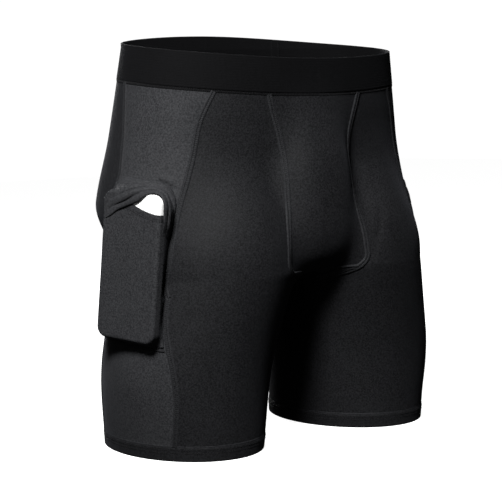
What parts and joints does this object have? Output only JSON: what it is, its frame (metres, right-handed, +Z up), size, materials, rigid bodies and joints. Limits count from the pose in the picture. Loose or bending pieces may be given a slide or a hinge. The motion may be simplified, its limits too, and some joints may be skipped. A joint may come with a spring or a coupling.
{
  "type": "compression shorts",
  "caption": "Close-fitting stretch shorts shown as worn, with a deep waistband, a shaped front pouch, a gusset, side pockets and a rounded slab in the right pocket.",
  "frame": {"origin": "under the middle of the part, on the plane of the two leg hems", "axes": "+Z up to the waistband, the front of the shorts faces -Y, the wearer's right side is towards -X"},
  "size_m": [0.412, 0.2486, 0.435],
  "materials": {
    "stretch_cloth": "matte black stretch knit",
    "side_cloth": "matte charcoal stretch knit",
    "waistband_elastic": "matte black woven elastic",
    "seam_thread": "black flatlock stitching",
    "slab_white": "smooth white"
  },
  "bodies": {
    "shorts": {"right_front_panel": "stretch_cloth", "right_side_panel": "side_cloth", "right_back_panel": "stretch_cloth", "left_front_panel": "stretch_cloth", "left_side_panel": "side_cloth", "left_back_panel": "stretch_cloth", "front_pouch": "stretch_cloth", "gusset": "stretch_cloth", "right_pouch_seam": "seam_thread", "right_side_front_seam": "seam_thread", "right_side_back_seam": "seam_thread", "right_inseam": "seam_thread", "left_pouch_seam": "seam_thread", "left_side_front_seam": "seam_thread", "left_side_back_seam": "seam_thread", "left_inseam": "seam_thread", "gusset_seam": "seam_thread", "center_back_seam": "seam_thread", "waistband": "waistband_elastic", "waist_seam": "seam_thread", "waistband_join": "waistband_elastic", "right_hem": "stretch_cloth", "right_hem_stitch": "seam_thread", "left_hem": "stretch_cloth", "left_hem_stitch": "seam_thread", "right_pocket_front": "side_cloth", "right_pocket_hem": "side_cloth", "right_pocket_lip": "side_cloth", "right_pocket_seam": "seam_thread", "left_pocket_front": "side_cloth", "left_pocket_hem": "side_cloth", "left_pocket_lip": "side_cloth", "left_pocket_seam": "seam_thread"},
    "slab": {"pocket_slab": "slab_white"}
  },
  "joints": [
    {"name": "slab_slide", "type": "slide", "parent": "shorts", "child": "slab", "axis": [0.0747, -0.0622, 0.9953], "range_m": [0, 0.165], "deforming": ["right_pocket_lip"]}
  ]
}
